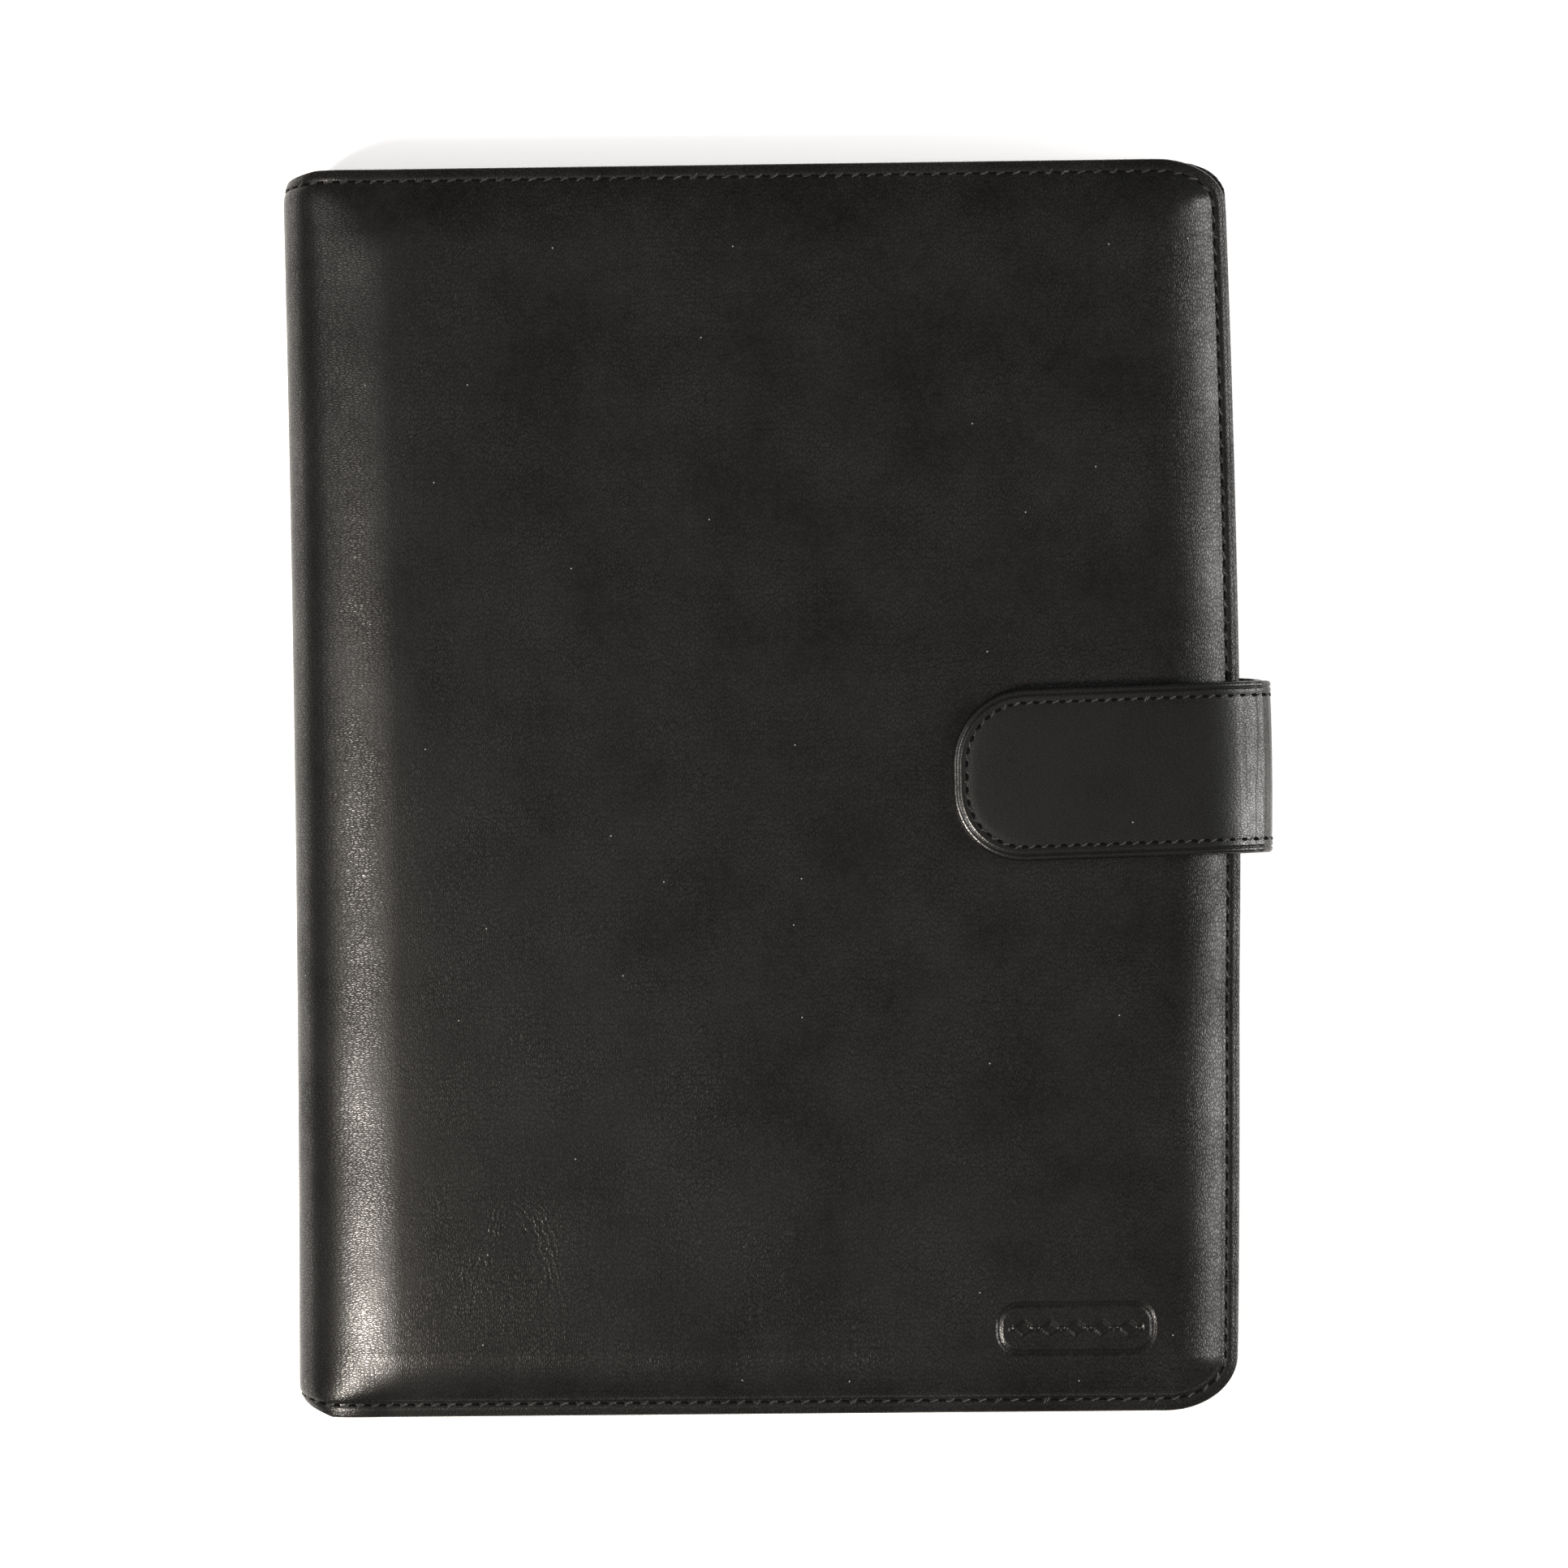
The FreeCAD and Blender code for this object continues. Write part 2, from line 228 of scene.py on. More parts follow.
def new_mesh(name, verts, faces, flat=None):
    """Smooth object from points in mm. flat keeps each point's place on the flat leather, for the grain."""
    mesh = bpy.data.meshes.new(name)
    mesh.from_pydata((np.asarray(verts) * MM).tolist(), [], faces)
    mesh.update()
    mesh.polygons.foreach_set("use_smooth", [True] * len(mesh.polygons))
    if flat is not None:
        layer = mesh.attributes.new("flat", "FLOAT_VECTOR", "POINT")
        layer.data.foreach_set("vector", np.asarray(flat, np.float32).ravel())
    obj = bpy.data.objects.new(name, mesh)
    bpy.context.scene.collection.objects.link(obj)
    return obj


def grid_faces(rows, cols, base, flip):
    starts = [base + i * cols + j for i in range(rows - 1) for j in range(cols - 1)]
    quads = [(a, a + cols, a + cols + 1, a + 1) for a in starts]
    return [quad[::-1] for quad in quads] if flip else quads


def perimeter(rows, cols):
    """Indices round a grid's edge, in order."""
    ring = list(range(cols))
    ring += [i * cols + cols - 1 for i in range(1, rows)]
    ring += [(rows - 1) * cols + j for j in range(cols - 2, -1, -1)]
    ring += [i * cols for i in range(rows - 2, 0, -1)]
    return ring


def slab(name, top, bottom, rings, flat_top, flat_bottom, rows, cols, flip):
    """Closed piece from two grids and the rings of points that join their edges."""
    verts = np.concatenate([top, bottom] + rings)
    ring = perimeter(rows, cols)
    size = rows * cols
    flat = [flat_top, flat_bottom]
    for k in range(len(rings)):
        share = (k + 1) / (len(rings) + 1)
        edge = flat_top[ring].copy()
        edge[:, 2] += share * 1.2
        edge[:, 0] += share * 0.7
        flat.append(edge)
    faces = grid_faces(rows, cols, 0, flip) + grid_faces(rows, cols, size, not flip)
    loops = [ring] + [[2 * size + k * len(ring) + i for i in range(len(ring))] for k in range(len(rings))]
    loops.append([size + i for i in ring])
    for upper, lower in zip(loops, loops[1:]):
        for i in range(len(ring)):
            j = (i + 1) % len(ring)
            quad = (upper[i], upper[j], lower[j], lower[i])
            faces.append(quad[::-1] if flip else quad)
    return new_mesh(name, verts, faces, np.concatenate(flat))


def book_slab(name, along, y, face, back, middles, side, layer, gap, flip, bulge=0.0):
    """Closed piece of the book between two depths. middles are the depths of the rings round its edge.

    layer sets it apart from the other pieces in the grain's pattern, and gap does so for its back."""
    rows, cols = along.shape
    ring = perimeter(rows, cols)
    top, bottom = (place(along, y, depth, side).reshape(-1, 3) for depth in (face, back))
    rings = [place(along.ravel()[ring] + bulge, y.ravel()[ring], depth.ravel()[ring], side)
             for depth in middles]
    flat_top = np.stack([along, y, np.broadcast_to(layer, along.shape)], -1).reshape(-1, 3)
    return slab(name, top, bottom, rings, flat_top, flat_top + np.array([0, 0, gap]), rows, cols, flip)


def crisp(panel, rows, cols):
    """Sharp edges along a panel's first row, front and back, where the spine's two halves meet unseen."""
    mesh = panel.data
    ends = np.zeros(2 * len(mesh.edges), np.int64)
    mesh.edges.foreach_get("vertices", ends)
    ends = ends.reshape(-1, 2)
    first_row = ((ends % (rows * cols) < cols) & (ends < 2 * rows * cols)).all(axis=1)
    layer = mesh.attributes.new("sharp_edge", "BOOLEAN", "EDGE")
    layer.data.foreach_set("value", first_row)


def slow_noise(u, v, seed):
    """Smooth noise from -1 to 1 over two arrays of places."""
    values = [noise.noise(Vector((a, b, seed))) for a, b in zip(u.ravel(), v.ravel())]
    return np.array(values).reshape(u.shape)


def relief(along, y, seed):
    """Slow hollows and swells of padded leather, in mm."""
    return 0.34 * slow_noise(along / 38, y / 52, seed) + 0.07 * slow_noise(along / 11, y / 16, seed + 7)


STAMP_AT = (WIDTH - FORE + 53.4, -99.3)    # centre of the blind-stamped ornament on the flattened cover
STAMP_HALF = (15.3, 5.4)    # half of the area of close-set grid lines round it
STAMP_PITCH = 0.3
STAMP_DEEP = 0.3
STAMP_FRAME = (10.4, 0.7, 3.7)      # the frame runs round a rectangle of these half sizes, this far from it
STAMP_ROW = (4.8, 12.2)             # pitch of the row of lozenges, and half its length
WRINKLE_AT = (WIDTH - FORE - 49.5, -74.0)  # top of the arch of fine creases, on the flattened cover
WRINKLE_DEEP = 0.011


def stamp_depth(along, y):
    """Depth of the blind-stamped ornament: a rounded frame round a row of lozenges."""
    u = np.abs(along - STAMP_AT[0])
    v = np.abs(y - STAMP_AT[1])
    half_u, half_v, frame_at = STAMP_FRAME
    away = np.hypot(np.maximum(u - half_u, 0), np.maximum(v - half_v, 0))
    frame_line = 1 - smooth(np.abs(away - frame_at), 0.2, 0.55)
    pitch, row_end = STAMP_ROW
    phase = np.abs((u + pitch / 2) % pitch - pitch / 2)
    lozenge = 1 - smooth(0.7 * phase + v, 1.1, 1.6)
    dot = 1 - smooth(np.hypot(phase - pitch / 2, v), 0.3, 0.65)
    row = np.maximum(lozenge, dot) * (u < row_end)
    return STAMP_DEEP * np.maximum(frame_line, row)


socket_low, socket_high = corners("snap_socket")
SNAP_AT = (socket_low + socket_high)[:2] / 2
SNAP_R = (socket_high - socket_low)[0] / 2
SNAP_SEAT = THICK - socket_high[2] + 0.3    # the leather is pressed down this deep round the snap
SNAP_HOLE = 1.9         # depth of its hole under the snap
SNAP_PITCH = 0.55


def snap_seat(along, y, side):
    """How far the face is pressed down to the snap's seat, 0 to 1, and the hole under the snap, in mm."""
    if side < 0:
        return 0, 0
    at = place(along, y, 0, side)
    away = np.hypot(at[..., 0] - SNAP_AT[0], at[..., 1] - SNAP_AT[1])
    pressed = 1 - smooth(away, SNAP_R + 0.2, SNAP_R + 5)
    return pressed, SNAP_HOLE * (1 - smooth(away, SNAP_R - 0.7, SNAP_R - 0.1))


def with_extra(lines, centre, half, pitch):
    """Adds close-set grid lines round a detail."""
    extra = np.arange(centre - half, centre + half + pitch / 2, pitch)
    merged = np.sort(np.concatenate([lines, extra]))
    keep = np.concatenate([[True], np.diff(merged) > LEAST_GAP])
    keep[-1] = True
    return merged[keep]


def book_panel(name, side, seed):
    """Padded leather of one cover and its half of the spine."""
    lines_a = along_lines(FINE_INSETS, FINE_PITCH)
    lines_y = y_lines(FINE_INSETS, FINE_PITCH)
    if side > 0:
        snap_at, snap_half = (WIDTH - FORE + SNAP_AT[0], SNAP_AT[1]), (SNAP_R + 2.5, SNAP_R + 1.0)
        for centre, half, pitch in ((STAMP_AT, STAMP_HALF, STAMP_PITCH), (snap_at, snap_half, SNAP_PITCH)):
            lines_a = with_extra(lines_a, centre[0], half[0], pitch)
            lines_y = with_extra(lines_y, centre[1], half[1], pitch)
    grid_a, grid_y = np.meshgrid(lines_a, lines_y, indexing="ij")
    along, y, inset = round_corner(grid_a, grid_y, side)
    depth = face_depth(inset, along, y)
    padding = crown_share(inset, y)
    stamped = stamp_depth(along, y) * (side > 0)
    seated, hole = snap_seat(along, y, side)
    swell = padding * smooth(along, 0, 10) * (relief(along, y, seed) - 0.25)
    depth = (depth - swell) * (1 - seated) + SNAP_SEAT * seated + hole + stamped
    back = np.maximum(LINING_DEPTH, depth + THINNEST)
    middles = [depth + share * (back - depth) for share in (0.45, 0.9)]
    # The stamp's depth also goes into the grain's place, where the leather material darkens it: partly
    # burnish, partly painted shade.
    layer = -stamped + 40 * (side < 0)
    panel = book_slab(name, along, y, depth, back, middles, side, layer, 5.0, side < 0)
    crisp(panel, *along.shape)
    return panel


def lining_panel(name, side):
    """Thin lining under one cover and its half of the spine."""
    lines_a = along_lines(COARSE_INSETS, COARSE_PITCH[0])
    lines_y = y_lines(COARSE_INSETS, COARSE_PITCH[1])
    grid_a, grid_y = np.meshgrid(lines_a, lines_y, indexing="ij")
    along, y, inset = round_corner(grid_a, grid_y, side)
    curl = 0.12 * np.exp(-inset / 0.5)
    level = np.maximum(LINING_DEPTH, face_depth(inset, along, y) + THINNEST)
    middle = level + LINING_T / 2
    panel = book_slab(name, along, y, level + 0.01 + curl, level + LINING_T - 2 * curl, [middle], side,
                      20.0, 3.0, side < 0)
    crisp(panel, *along.shape)
    return panel


# ---------------------------------------------------------------- stitches

def capsule(segments=8, rings=5):
    """Unit thread segment along X: length 1, radius 1 across, with rounded ends."""
    verts = [(-0.5, 0, 0)]
    for i in range(1, rings + 1):
        t = i / (rings + 1)
        x = -0.5 + t
        radius = math.sin(math.pi * t) ** 0.45
        for j in range(segments):
            turn = 2 * math.pi * j / segments
            verts.append((x, radius * math.cos(turn), radius * math.sin(turn)))
    verts.append((0.5, 0, 0))
    faces = [(0, 1 + (j + 1) % segments, 1 + j) for j in range(segments)]
    for i in range(rings - 1):
        for j in range(segments):
            a = 1 + i * segments + j
            b = 1 + i * segments + (j + 1) % segments
            faces.append((a, b, b + segments, a + segments))
    last = len(verts) - 1
    start = 1 + (rings - 1) * segments
    faces += [(last, start + j, start + (j + 1) % segments) for j in range(segments)]
    return np.array(verts), faces


THREAD, THREAD_FACES = capsule()
SLOT_SIDES = 12
SLOT_WIDTH = 0.34       # half of a needle slot's width, and its half length as a share of the pitch
SLOT_LENGTH = 0.24
SLOT_DEEP = 0.2


def sew(name, paths, surface, pitch, length, width, lean):
    """Threads and needle slots along paths. surface(u, v, lift) gives the point on the leather.

    A stitch shows two strands of the given length and half width, which lean across the seam."""
    verts, faces, slot_verts, slot_faces = [], [], [], []

    def frame_at(path, run, s):
        here, ahead, behind = [[np.interp(v, run, path[:, k]) for k in (0, 1)]
                               for v in (s, min(s + 0.3, run[-1]), max(s - 0.3, 0))]
        point = surface(*here, 0.0)
        tangent = surface(*ahead, 0.0) - surface(*behind, 0.0)
        up = surface(*here, 1.0) - point
        tangent = tangent / np.linalg.norm(tangent)
        up = up / np.linalg.norm(up)
        across = np.cross(up, tangent)
        return point, tangent, across / np.linalg.norm(across), up

    for path in paths:
        run = np.concatenate([[0], np.cumsum(np.hypot(*np.diff(path, axis=0).T))])
        count = max(1, int(round(run[-1] / pitch)))
        step = run[-1] / count
        for k in range(count):
            wobble = noise.noise(Vector((k * 0.7, len(name), 3.1)))
            for part in (-0.5, 0.5):
                stray = noise.noise(Vector((k * 1.3, part * 9, len(name) + 0.5)))
                point, tangent, across, up = frame_at(path, run, (k + 0.5 + 0.2 * part) * step)
                turn = lean + 0.7 * wobble + 0.9 * stray
                lay = tangent * math.cos(turn) + across * math.sin(turn)
                side = np.cross(up, lay)
                scale = length * (1 + 0.5 * stray)
                strand = THREAD[:, :1] * scale * lay
                strand = strand + THREAD[:, 1:2] * width * side + THREAD[:, 2:] * width * up
                strand = strand + across * width * 1.5 * part
                dip = up * (0.06 + 0.1 * stray - 0.26 * (2 * THREAD[:, :1]) ** 2)
                faces += [tuple(len(verts) + i for i in f) for f in THREAD_FACES]
                verts += list(point + strand + dip)
            point, tangent, across, up = frame_at(path, run, (k + 1) * step - 1e-3)
            # Each slot is a near-black disc sunk into the leather: painted shade of the needle hole.
            first = len(slot_verts)
            slot_verts.append(point + up * 0.012)
            for turn in np.linspace(0, 2 * math.pi, SLOT_SIDES + 1)[:-1]:
                slot_verts.append(point + up * 0.03 + tangent * SLOT_LENGTH * pitch * math.cos(turn)
                                  + across * SLOT_WIDTH * math.sin(turn))
            slot_verts.append(point - up * SLOT_DEEP)
            for i in range(SLOT_SIDES):
                a, b = first + 1 + i, first + 1 + (i + 1) % SLOT_SIDES
                slot_faces += [(first, a, b), (first + SLOT_SIDES + 1, b, a)]
    faces += [tuple(len(verts) + i for i in f) for f in slot_faces]
    obj = new_mesh(name, verts + slot_verts, faces)
    obj.data.materials.append(MATERIALS["thread"])
    obj.data.materials.append(MATERIALS["slot"])
    marks = np.zeros(len(faces), np.int32)
    marks[len(faces) - len(slot_faces):] = 1
    obj.data.polygons.foreach_set("material_index", marks)
    return obj


def hem_path(inset, side):
    """Seam line of one cover and its half of the spine, from tail to head round the fore-edge."""
    halves = []
    for rx, ry in CORNERS[side]:
        centre_a, centre_y = WIDTH - rx, HALF - ry
        edge = [(a, HALF - inset) for a in np.linspace(0.3, centre_a, 120)]
        turns = np.linspace(math.pi / 2, 0, 24)[1:]
        corner = [(centre_a + (rx - inset) * math.cos(t), centre_y + (ry - inset) * math.sin(t))
                  for t in turns]
        fore = [(WIDTH - inset, y) for y in np.linspace(centre_y, 0, 60)[1:]]
        halves.append(edge + corner + fore)
    tail, head = halves
    return np.array([(a, -y) for a, y in tail] + head[::-1][1:])


# ---------------------------------------------------------------- materials

MATERIALS = {}


class Nodes:
    """Short way to write a node tree."""

    def __init__(self, name):
        self.material = bpy.data.materials.new(name)
        self.material.use_nodes = True
        self.tree = self.material.node_tree
        self.shader = self.tree.nodes["Principled BSDF"]
        MATERIALS[name] = self.material

    def add(self, kind, inputs=None, **settings):
        node = self.tree.nodes.new("ShaderNode" + kind)
        for key, value in settings.items():
            setattr(node, key, value)
        for key, value in (inputs or {}).items():
            self.link(value, node.inputs[key])
        return node

    def link(self, value, socket):
        if isinstance(value, bpy.types.NodeSocket):
            self.tree.links.new(value, socket)
        elif hasattr(value, "outputs"):
            self.tree.links.new(value.outputs[0], socket)
        else:
            socket.default_value = value

    def math(self, operation, a, b=0.0, c=0.0):
        return self.add("Math", {0: a, 1: b, 2: c}, operation=operation).outputs[0]

    def scaled(self, vector, scale):
        return self.add("Mapping", {"Vector": vector, "Scale": scale}).outputs[0]

    def noise(self, vector, scale, detail=3.0, rough=0.55):
        inputs = {"Vector": vector, "Scale": scale, "Detail": detail, "Roughness": rough}
        return self.add("TexNoise", inputs).outputs["Fac"]

    def ramp(self, value, low, high, out_low=0.0, out_high=1.0):
        node = self.add("MapRange", {"Value": value, "From Min": low, "From Max": high,
                                     "To Min": out_low, "To Max": out_high}, clamp=True)
        return node.outputs[0]

    def blend(self, share, a, b):
        """The number a where share is 0 and b where it is 1."""
        return self.math("MULTIPLY_ADD", share, self.math("SUBTRACT", b, a), a)

    def mix(self, share, a, b):
        node = self.add("Mix", data_type="RGBA")
        self.link(share, node.inputs[0])
        self.link(a, node.inputs[6])
        self.link(b, node.inputs[7])
        return node.outputs[2]

    def set(self, **values):
        for key, value in values.items():
            self.link(value, self.shader.inputs[key.replace("_", " ")])


def grain(n, place_at, cell, stretch):
    """Pebbles (0 in the crevices, 1 on top) and crevices (1 in the lines) of grain cells, size in mm."""
    x, y, z = n.add("SeparateXYZ", {0: place_at}).outputs
    round_edges = n.add("CombineXYZ", {0: n.math("ADD", x, z), 1: n.math("ADD", y, z)}).outputs[0]
    grain_at = n.scaled(round_edges, (stretch[0] / cell, stretch[1] / cell, 1))
    wander = n.add("TexNoise", {"Vector": grain_at, "Scale": 0.4, "Detail": 2.0}, noise_dimensions="2D")
    push = n.add("VectorMath", {0: wander.outputs["Color"], 3: 1.4}, operation="SCALE").outputs[0]
    shaken = n.add("VectorMath", {0: grain_at, 1: push}).outputs[0]
    edges = {"voronoi_dimensions": "2D", "feature": "DISTANCE_TO_EDGE"}
    cells = n.add("TexVoronoi", {"Vector": shaken, "Scale": 1.0}, **edges).outputs["Distance"]
    large = n.add("TexVoronoi", {"Vector": shaken, "Scale": 0.55}, **edges).outputs["Distance"]
    pebbles = n.math("MULTIPLY", n.ramp(cells, 0.0, 0.36), n.ramp(large, 0.0, 0.16, 0.5, 1.0))
    lines = n.math("MAXIMUM", n.ramp(cells, 0.02, 0.22, 0.8, 0.0), n.ramp(large, 0.01, 0.1, 0.8, 0.0))
    return pebbles, lines


def leather(name, base, rough, cell, height, cloud=0.3, gloss=0.5, stretch=(1.0, 0.62), wrinkled=False):
    """Fine-grained dyed leather. cell is the grain's size and height its depth, in mm.

    On wrinkled leather the grain turns across near the spine, and there are creases at its tail."""
    n = Nodes(name)
    place_at = n.add("Attribute", attribute_name="flat").outputs["Vector"]
    pebbles, lines = grain(n, place_at, cell, stretch)
    if wrinkled:
        across_pebbles, across_lines = grain(n, place_at, cell, stretch[::-1])
        sway = n.math("MULTIPLY_ADD", n.noise(place_at, 0.05, 3.0), 26.0, -13.0)
        along = n.math("ADD", n.math("ABSOLUTE", n.add("SeparateXYZ", {0: place_at}).outputs[0]), sway)
        on_face = n.ramp(along, 19.0, 31.0)
        pebbles = n.blend(on_face, across_pebbles, pebbles)
        lines = n.blend(on_face, across_lines, lines)
    fine = n.noise(n.scaled(place_at, (1.0, 0.28, 1.0)), 1.5, 3.0, 0.65)
    patch = n.noise(place_at, 0.07, 4.0, 0.65)
    strength = n.ramp(patch, 0.34, 0.64, 0.75, 1.3)
    pebbled = n.math("MULTIPLY", pebbles, n.math("MULTIPLY", strength, height))
    relief_height = n.math("MULTIPLY_ADD", fine, height * 1.1, pebbled)
    if wrinkled:
        relief_height = n.math("ADD", relief_height, wrinkle_height(n, place_at))
    bump = n.add("Bump", {"Height": relief_height, "Distance": MM, "Strength": 1.0})
    dust_cells = n.add("TexVoronoi", {"Vector": place_at, "Scale": 0.12}, voronoi_dimensions="2D")
    speck = n.ramp(dust_cells.outputs["Distance"], 0.02, 0.008)
    dust = n.math("MULTIPLY", speck, n.math("GREATER_THAN", dust_cells.outputs["Color"], 0.82))
    cloud_at = n.noise(place_at, 0.045, 4.0, 0.6)
    mottle = n.noise(n.scaled(place_at, (1.0, 0.55, 1.0)), 0.7, 3.0, 0.65)
    tone = n.blend(0.3, cloud_at, mottle)
    dark = [c * (1 - cloud) for c in base] + [1]
    light = [c * (1 + cloud) for c in base] + [1]
    colour = n.mix(n.ramp(tone, 0.36, 0.64), dark, light)
    # Painted shade: the grain's crevice lines are darkened towards a fifth of the base colour, standing in
    # for the shade that falls in them.
    crevice = n.math("MULTIPLY", lines, n.ramp(patch, 0.34, 0.64, 0.8, 1.0))
    colour = n.mix(crevice, colour, [c * 0.2 for c in base] + [1])
    # The blind-stamped ornament is darker: partly the burnish of pressed leather, partly painted shade in its
    # hollow. Its depth arrives as the third value of the flat place.
    pressed = n.ramp(n.add("SeparateXYZ", {0: place_at}).outputs[2], -0.3, -0.02, 0.55, 0.0)
    colour = n.mix(pressed, colour, [c * 0.3 for c in base] + [1])
    colour = n.mix(n.math("MULTIPLY", dust, 0.5), colour, [0.5, 0.48, 0.45, 1])
    sheen = n.ramp(tone, 0.36, 0.64, rough + 0.05, rough - 0.04)
    shine = n.ramp(crevice, 0.0, 0.9, gloss, 0.1 * gloss)
    shine = n.math("MULTIPLY", shine, n.ramp(tone, 0.38, 0.62, 0.7, 1.25))
    n.set(Base_Color=colour, Roughness=n.math("MULTIPLY_ADD", crevice, 0.15, sheen), Normal=bump,
          Specular_IOR_Level=shine)


def wrinkle_height(n, place_at):
    """A few fine creases in an arch near the spine's tail, in mm."""
    xyz = n.add("SeparateXYZ", {0: place_at})
    sway = n.math("MULTIPLY_ADD", n.noise(place_at, 0.12, 2.0), 7.0, -3.5)
    x = n.math("ADD", n.math("SUBTRACT", xyz.outputs[0], WRINKLE_AT[0]), sway)
    down = n.math("SUBTRACT", WRINKLE_AT[1], xyz.outputs[1])
    reach = n.math("MULTIPLY", n.math("SQRT", n.math("MAXIMUM", down, 0.0)), 1.9)
    off = n.math("SUBTRACT", n.math("ABSOLUTE", x), reach)
    frayed = n.math("MULTIPLY_ADD", n.noise(place_at, 0.9, 3.0), 2.2, off)
    waves = n.math("SINE", n.math("MULTIPLY", frayed, 5.2))
    near = n.math("MULTIPLY", n.ramp(off, -4.5, -1.0), n.ramp(off, 0.5, 2.5, 1.0, 0.0))
    tall = n.math("MULTIPLY", n.ramp(down, -1.0, 3.0), n.ramp(down, 12.0, 26.0, 1.0, 0.0))
    return n.math("MULTIPLY", n.math("MULTIPLY", waves, near), n.math("MULTIPLY", tall, WRINKLE_DEEP))


def object_mm(n):
    """Place in the object, in mm."""
    return n.scaled(n.add("TexCoord").outputs["Object"], (1000, 1000, 1000))


def patterned(name, pattern, dark, light, bump=0.0, **values):
    """Material whose tone and relief follow one pattern. bump is the relief's depth, in metres."""
    n = Nodes(name)
    share = pattern(n, object_mm(n))
    n.set(Base_Color=n.mix(share, [*dark, 1], [*light, 1]), **values)
    if bump:
        n.set(Normal=n.add("Bump", {"Height": share, "Distance": bump}))
    return n, share


def board_fibre(n, at):
    return n.noise(n.scaled(at, (1, 0.4, 1)), 1.5, 5.0, 0.7)


def weave(n, at):
    waves = [n.add("TexWave", {"Vector": at, "Scale": 1.0}, bands_direction=way) for way in "XY"]
    return n.math("MAXIMUM", *(wave.outputs["Fac"] for wave in waves))


def rubbed(n, at):
    return n.noise(n.scaled(at, (1, 1, 6)), 0.8, 5.0, 0.7)


def make_materials():
    leather("outer_leather", (0.0092, 0.009, 0.0088), rough=0.235, cell=0.38, height=0.0115, cloud=0.5,
            stretch=(1.0, 0.44), wrinkled=True)
    leather("strap_leather", (0.004, 0.0039, 0.0038), rough=0.27, cell=0.31, height=0.007, gloss=0.85,
            stretch=(0.5, 1.0))
    leather("lining_leather", (0.02, 0.0195, 0.019), rough=0.55, cell=0.68, height=0.02)
    leather("pocket_leather", (0.013, 0.0127, 0.0123), rough=0.4, cell=0.5, height=0.02)

    n = Nodes("thread")
    at = object_mm(n)
    twist = n.add("TexWave", {"Vector": at, "Scale": 1.7, "Distortion": 1.5},
                  bands_direction="DIAGONAL").outputs["Fac"]
    # Lighter thread: partly wear, partly a painted glint on the raised strands.
    worn_and_glint = n.ramp(n.noise(at, 0.55, 2.0), 0.42, 0.62)
    bright = n.mix(worn_and_glint, [0.018, 0.018, 0.018, 1], [0.065, 0.064, 0.062, 1])
    colour = n.mix(twist, [0.008, 0.008, 0.008, 1], bright)
    bump = n.add("Bump", {"Height": twist, "Distance": 0.0001, "Strength": 0.8})
    n.set(Base_Color=colour, Roughness=0.42, Normal=bump)

    # Needle slots: near black with almost no reflection, painted shade for the holes that the thread goes
    # into.
    patterned("slot", lambda n, at: n.noise(at, 2.0), (0.001,) * 3, (0.004,) * 3, Roughness=0.9,
              Specular_IOR_Level=0.05)
    patterned("board", board_fibre, (0.26, 0.23, 0.19), (0.42, 0.38, 0.32), 0.00008, Roughness=0.9)
    patterned("cloth", weave, (0.012, 0.012, 0.015), (0.045, 0.045, 0.055), 0.00012, Roughness=0.8)
    patterned("stiffener", lambda n, at: n.noise(at, 0.6), (0.03,) * 3, (0.07,) * 3, Roughness=0.6)
    n, rub = patterned("metal", rubbed, (0.2, 0.2, 0.205), (0.5, 0.5, 0.51), 0.00003, Metallic=1.0)
    n.set(Roughness=n.ramp(rub, 0.3, 0.7, 0.22, 0.42))

    n = Nodes("paper")
    at = object_mm(n)
    fibre = n.noise(at, 1.2, 4.0, 0.6)
    xyz = n.add("SeparateXYZ", {0: at})
    normal_z = n.add("SeparateXYZ", {0: n.add("NewGeometry").outputs["Normal"]}).outputs[2]
    edge_tone = n.ramp(n.noise(n.scaled(at, (0.02, 0.02, 9.0)), 1.0, 2.0, 0.5), 0.35, 0.65)
    face = n.mix(fibre, [0.45, 0.44, 0.4, 1], [0.5, 0.49, 0.45, 1])
    edge = n.mix(edge_tone, [0.4, 0.385, 0.345, 1], [0.66, 0.645, 0.6, 1])
    band = n.math("PINGPONG", xyz.outputs[1], 3.5)
    rule = n.math("MULTIPLY", n.ramp(band, 0.1, 0.2, 1.0, 0.0), n.ramp(normal_z, 0.8, 0.9))
    colour = n.mix(n.ramp(normal_z, 0.5, 0.8), edge, face)
    colour = n.mix(n.math("MULTIPLY", rule, 0.6), colour, [0.2, 0.26, 0.36, 1])
    n.set(Base_Color=colour, Roughness=0.85,
          Normal=n.add("Bump", {"Height": n.math("ADD", fibre, edge_tone), "Distance": 0.00005}))

    n = Nodes("floor")
    tone = n.noise(n.add("TexCoord").outputs["Object"], 6.0, 3.0)
    n.set(Base_Color=n.mix(tone, [0.93, 0.93, 0.93, 1], [0.95, 0.95, 0.95, 1]), Roughness=0.9,
          Emission_Color=(1, 1, 1, 1), Emission_Strength=0.35)


make_materials()


def dress(obj, leather_name):
    """Gives a piece its leather, whose material and slot share a name."""
    obj.data.materials.append(MATERIALS[leather_name])
    return obj


# ---------------------------------------------------------------- the book

HEM_THREAD = dict(pitch=2.95, length=1.5, width=0.15, lean=0.45)


def roll_blend(obj, side):
    """Bakes the piece's placement into its mesh, the same for either side."""
    if side > 0:
        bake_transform(obj)
    else:
        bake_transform(obj)


def hem_surface(side):
    def surface(along, y, lift):
        inset = min(STITCH_INSET, WIDTH - along)
        return place(along, y, face_depth(np.array(inset), along, y) - lift, side).reshape(3)
    return surface


